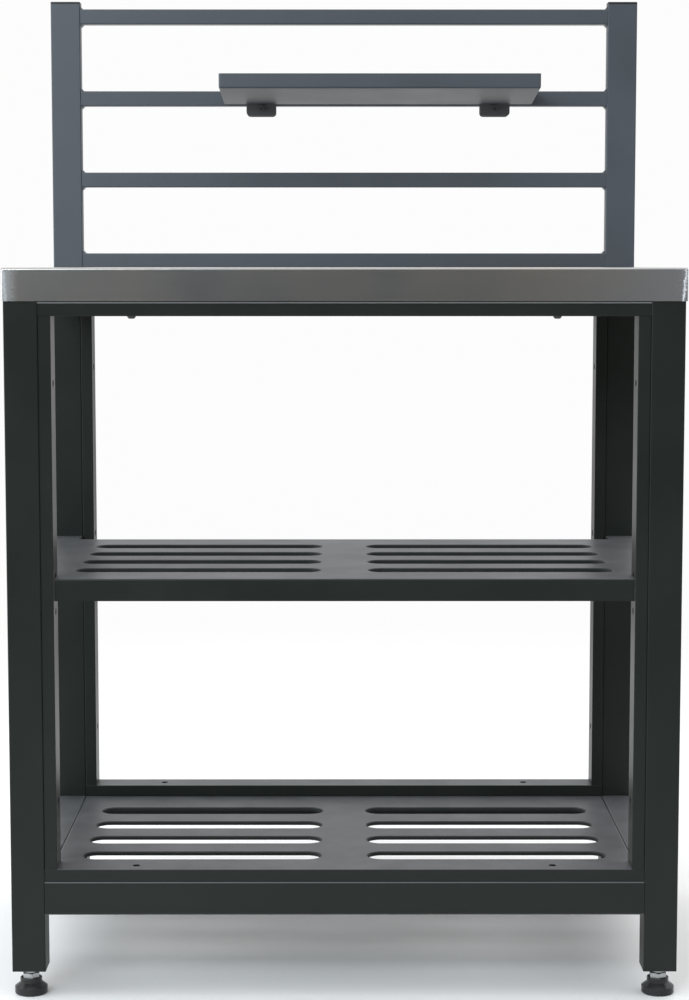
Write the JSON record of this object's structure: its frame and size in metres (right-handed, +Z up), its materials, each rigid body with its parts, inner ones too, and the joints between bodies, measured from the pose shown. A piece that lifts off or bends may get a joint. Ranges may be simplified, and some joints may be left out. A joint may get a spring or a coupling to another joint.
{
  "type": "outdoor kitchen table",
  "caption": "Outdoor kitchen table: stainless worktop on a powder-coated tube frame, slotted shelves, rear rail rack with a sliding hung tray, and screw levelling feet.",
  "frame": {"origin": "on the floor, under the middle of the worktop and between the feet", "axes": "+Z up, the front faces -Y, +X to the right seen from the front"},
  "size_m": [0.8, 0.5295, 1.23],
  "materials": {
    "frame_coat": "fine satin powder coat, near-black anthracite",
    "rack_coat": "fine satin powder coat, blue-grey",
    "stainless": "brushed along the width",
    "zinc": "bright zinc plate",
    "black_oxide": "blackened steel, lightly oiled",
    "black_plastic": "moulded, fine grain"
  },
  "bodies": {
    "table": {"bottom_shelf": "frame_coat", "head_front": "frame_coat", "head_rear": "frame_coat", "jamb_front_left": "frame_coat", "jamb_front_right": "frame_coat", "jamb_rear_left": "frame_coat", "jamb_rear_right": "frame_coat", "leg_front_left": "frame_coat", "leg_front_right": "frame_coat", "leg_plugs": "black_plastic", "leg_rear_left": "frame_coat", "leg_rear_right": "frame_coat", "lock_nuts": "zinc", "low_rail_front": "frame_coat", "low_rail_left": "frame_coat", "low_rail_rear": "frame_coat", "low_rail_right": "frame_coat", "low_shelf_bolts": "black_oxide", "middle_shelf": "frame_coat", "rack_bar_1": "rack_coat", "rack_bar_2": "rack_coat", "rack_bar_3": "rack_coat", "rack_bar_4": "rack_coat", "rack_bolts": "zinc", "rack_caps": "black_plastic", "rack_post_left": "rack_coat", "rack_post_right": "rack_coat", "rack_spacers": "zinc", "shelf_nuts": "zinc", "shelf_rail_left": "frame_coat", "shelf_rail_right": "frame_coat", "shelf_studs": "zinc", "sill_front": "frame_coat", "sill_rear": "frame_coat", "stiffener_left": "frame_coat", "stiffener_right": "frame_coat", "top_rail_front": "frame_coat", "top_rail_left": "frame_coat", "top_rail_rear": "frame_coat", "top_rail_right": "frame_coat", "worktop": "stainless", "worktop_bolts": "black_oxide", "worktop_bosses": "zinc"},
    "tray": {"tray": "rack_coat", "hook_left": "rack_coat", "hook_right": "rack_coat", "lock_screws": "black_oxide", "lock_screw_nuts": "black_oxide"},
    "foot_front_left": {"foot_pad_front_left": "black_plastic"},
    "stem_front_left": {"foot_stem_front_left": "zinc"},
    "foot_front_right": {"foot_pad_front_right": "black_plastic"},
    "stem_front_right": {"foot_stem_front_right": "zinc"},
    "foot_rear_left": {"foot_pad_rear_left": "black_plastic"},
    "stem_rear_left": {"foot_stem_rear_left": "zinc"},
    "foot_rear_right": {"foot_pad_rear_right": "black_plastic"},
    "stem_rear_right": {"foot_stem_rear_right": "zinc"}
  },
  "joints": [
    {"name": "tray_slide", "type": "slide", "parent": "table", "child": "tray", "axis": [1, 0, 0], "range_m": [-0.221, 0.128]},
    {"name": "foot_lift_front_left", "type": "slide", "parent": "table", "child": "foot_front_left", "axis": [0, 0, -1], "range_m": [0, 0.015]},
    {"name": "foot_turn_front_left", "type": "hinge", "parent": "foot_front_left", "child": "stem_front_left", "pos_m": [-0.378, -0.228, 0.02], "axis": [0, 0, 1], "range_deg": [0, 3604]},
    {"name": "foot_lift_front_right", "type": "slide", "parent": "table", "child": "foot_front_right", "axis": [0, 0, -1], "range_m": [0, 0.015]},
    {"name": "foot_turn_front_right", "type": "hinge", "parent": "foot_front_right", "child": "stem_front_right", "pos_m": [0.378, -0.228, 0.02], "axis": [0, 0, 1], "range_deg": [0, 3604]},
    {"name": "foot_lift_rear_left", "type": "slide", "parent": "table", "child": "foot_rear_left", "axis": [0, 0, -1], "range_m": [0, 0.015]},
    {"name": "foot_turn_rear_left", "type": "hinge", "parent": "foot_rear_left", "child": "stem_rear_left", "pos_m": [-0.378, 0.228, 0.02], "axis": [0, 0, 1], "range_deg": [0, 3604]},
    {"name": "foot_lift_rear_right", "type": "slide", "parent": "table", "child": "foot_rear_right", "axis": [0, 0, -1], "range_m": [0, 0.015]},
    {"name": "foot_turn_rear_right", "type": "hinge", "parent": "foot_rear_right", "child": "stem_rear_right", "pos_m": [0.378, 0.228, 0.02], "axis": [0, 0, 1], "range_deg": [0, 3604]}
  ],
  "couplings": [
    {"joint": "foot_turn_front_left", "follows": "foot_lift_front_left", "rad_per_m": 4188.8},
    {"joint": "foot_turn_front_right", "follows": "foot_lift_front_right", "rad_per_m": 4188.8},
    {"joint": "foot_turn_rear_left", "follows": "foot_lift_rear_left", "rad_per_m": 4188.8},
    {"joint": "foot_turn_rear_right", "follows": "foot_lift_rear_right", "rad_per_m": 4188.8}
  ]
}
